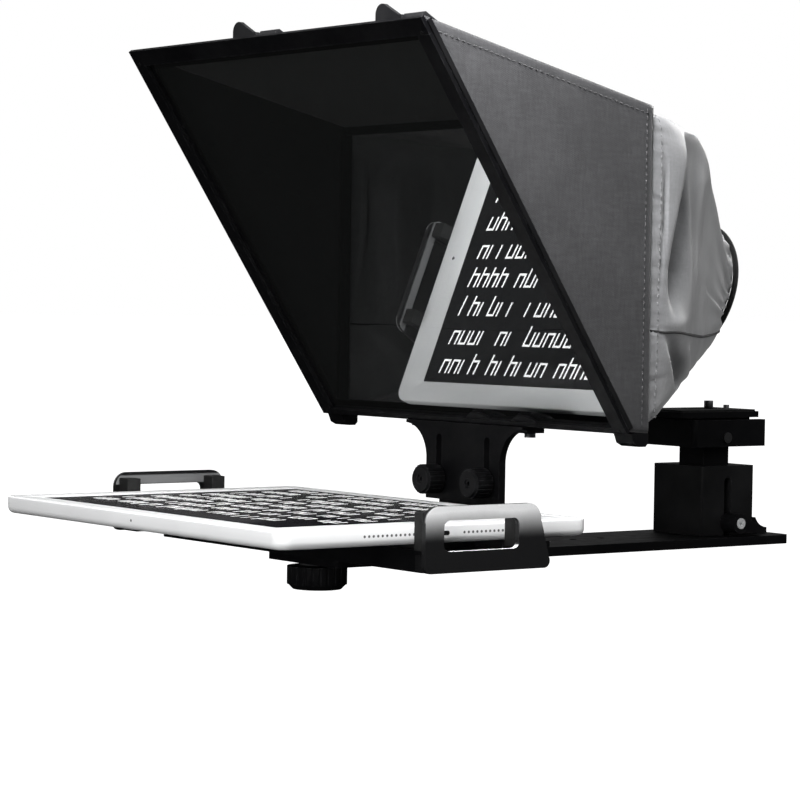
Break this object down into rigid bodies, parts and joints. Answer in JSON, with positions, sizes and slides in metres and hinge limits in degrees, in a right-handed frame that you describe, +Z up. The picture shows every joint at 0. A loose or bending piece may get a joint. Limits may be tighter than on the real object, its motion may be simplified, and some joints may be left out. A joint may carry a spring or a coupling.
{
  "type": "teleprompter",
  "caption": "Camera teleprompter: leaning beam-splitter glass in a cloth light hood, tablet tray in front, lens sleeve and height-adjusting camera riser behind, on one rail.",
  "frame": {"origin": "mouth of the 3/8 inch tripod thread on the rail's underside", "axes": "+X towards the tray's near side, +Y along the rail towards the camera, +Z up"},
  "size_m": [0.3338, 0.5003, 0.3441],
  "materials": {
    "black_metal": "matte black anodised, fine grain",
    "riser_paint": "satin black powder coat",
    "frame_plastic": "matte black",
    "clip_plastic": "matte black moulded plastic",
    "knob_plastic": "matte black moulded plastic",
    "black_screws": "black oxide",
    "steel": "zinc-plated steel",
    "bright_screw": "bright nickel",
    "clamp_metal": "satin silver-grey anodised",
    "button_metal": "satin grey",
    "glass": "part-mirrored beam splitter",
    "hood_cloth": "dark grey woven cover, stiffened",
    "sleeve_cloth": "satin grey nylon",
    "cord": "black elastic cord",
    "tablet_white": "white satin",
    "screen": "gloss black glass",
    "rubber": "matte black"
  },
  "bodies": {
    "base": {"base_rail": "black_metal", "tripod_insert": "steel", "lower_bracket": "black_metal", "bracket_foot_screws": "steel"},
    "glass_head": {"slotted_bracket": "black_metal", "flange_screws": "steel", "frame_top_bar": "black_metal", "frame_bottom_bar": "black_metal", "frame_left_bar": "black_metal", "frame_right_bar": "black_metal", "beam_splitter_glass": "glass", "glass_retainers": "frame_plastic", "glass_edge_tabs": "black_metal", "frame_corner_screws": "black_screws", "hood_left_panel": "hood_cloth", "hood_right_panel": "hood_cloth", "hood_top_panel": "hood_cloth", "hood_sill": "black_metal", "hood_rear_rim": "frame_plastic", "camera_sleeve": "sleeve_cloth", "sleeve_drawcord": "cord", "cord_lock": "knob_plastic", "hood_clip_bases": "clip_plastic"},
    "clip_left": {"hood_clip_lever_left": "clip_plastic"},
    "clip_right": {"hood_clip_lever_right": "clip_plastic"},
    "knob_left": {"bracket_knob_left": "knob_plastic", "knob_stud_left": "steel"},
    "knob_right": {"bracket_knob_right": "knob_plastic", "knob_stud_right": "steel"},
    "tray": {"tray_arm": "black_metal", "tray_key": "steel", "tray_pads": "rubber", "tablet_shell": "tablet_white", "tablet_screen": "screen"},
    "tray_knob": {"tray_knob": "knob_plastic", "tray_knob_washer": "steel", "tray_stud": "steel"},
    "clamp_near": {"clamp_near": "clamp_metal", "clamp_near_pads": "rubber", "clamp_near_rods": "steel"},
    "clamp_far": {"clamp_far": "clamp_metal", "clamp_far_pads": "rubber", "clamp_far_rods": "steel"},
    "riser": {"riser_block": "riser_paint", "riser_foot": "black_metal", "riser_rail_screws": "steel"},
    "post": {"riser_post": "black_metal", "qr_clamp": "black_metal", "qr_clamp_screws": "steel"},
    "post_lever": {"post_lever": "knob_plastic", "post_lever_screw": "bright_screw", "post_lever_stud": "steel"},
    "qr_plate": {"qr_plate": "black_metal", "qr_plate_pad": "rubber", "anti_twist_pin": "steel"},
    "camera_screw": {"camera_screw": "steel"},
    "qr_button": {"qr_release_button": "button_metal"},
    "qr_lever": {"qr_lock_lever": "knob_plastic"}
  },
  "joints": [
    {"name": "head_height", "type": "slide", "parent": "base", "child": "glass_head", "axis": [0, 0, 1], "range_m": [-0.022, 0.003]},
    {"name": "knob_left_spin", "type": "hinge", "parent": "base", "child": "knob_left", "pos_m": [-0.0245, -0.0656, 0.047], "axis": [0, 1, 0], "continuous": true},
    {"name": "knob_right_spin", "type": "hinge", "parent": "base", "child": "knob_right", "pos_m": [0.0245, -0.0656, 0.047], "axis": [0, 1, 0], "continuous": true},
    {"name": "clip_left_lift", "type": "hinge", "parent": "glass_head", "child": "clip_left", "pos_m": [-0.025, -0.201, 0.31799], "axis": [1, 0, 0], "range_deg": [0, 90]},
    {"name": "clip_right_lift", "type": "hinge", "parent": "glass_head", "child": "clip_right", "pos_m": [0.121, -0.201, 0.31799], "axis": [1, 0, 0], "range_deg": [0, 90]},
    {"name": "tray_slide", "type": "slide", "parent": "base", "child": "tray", "axis": [0, 1, 0], "range_m": [0, 0.02]},
    {"name": "tray_knob_spin", "type": "hinge", "parent": "tray", "child": "tray_knob", "pos_m": [0, -0.177, 0], "axis": [0, 0, 1], "continuous": true},
    {"name": "clamp_near_slide", "type": "slide", "parent": "tray", "child": "clamp_near", "axis": [1, 0, 0], "range_m": [0, 0.025]},
    {"name": "clamp_far_slide", "type": "slide", "parent": "tray", "child": "clamp_far", "axis": [-1, 0, 0], "range_m": [0, 0.025]},
    {"name": "riser_slide", "type": "slide", "parent": "base", "child": "riser", "axis": [0, 1, 0], "range_m": [-0.02, 0.008]},
    {"name": "post_height", "type": "slide", "parent": "riser", "child": "post", "axis": [0, 0, 1], "range_m": [0, 0.02]},
    {"name": "post_lever_turn", "type": "hinge", "parent": "post", "child": "post_lever", "pos_m": [0, 0.1435, 0.015], "axis": [1, 0, 0], "range_deg": [0, 120]},
    {"name": "qr_plate_slide", "type": "slide", "parent": "post", "child": "qr_plate", "axis": [0, 1, 0], "range_m": [0, 0.04]},
    {"name": "camera_screw_spin", "type": "hinge", "parent": "qr_plate", "child": "camera_screw", "pos_m": [0, 0.147, 0.09], "axis": [0, 0, 1], "continuous": true},
    {"name": "qr_button_press", "type": "slide", "parent": "post", "child": "qr_button", "axis": [-1, 0, 0], "range_m": [0, 0.001], "stiffness_N_per_m": 300},
    {"name": "qr_lever_turn", "type": "hinge", "parent": "post", "child": "qr_lever", "pos_m": [-0.026, 0.146, 0.071], "axis": [1, 0, 0], "range_deg": [0, 90]}
  ]
}
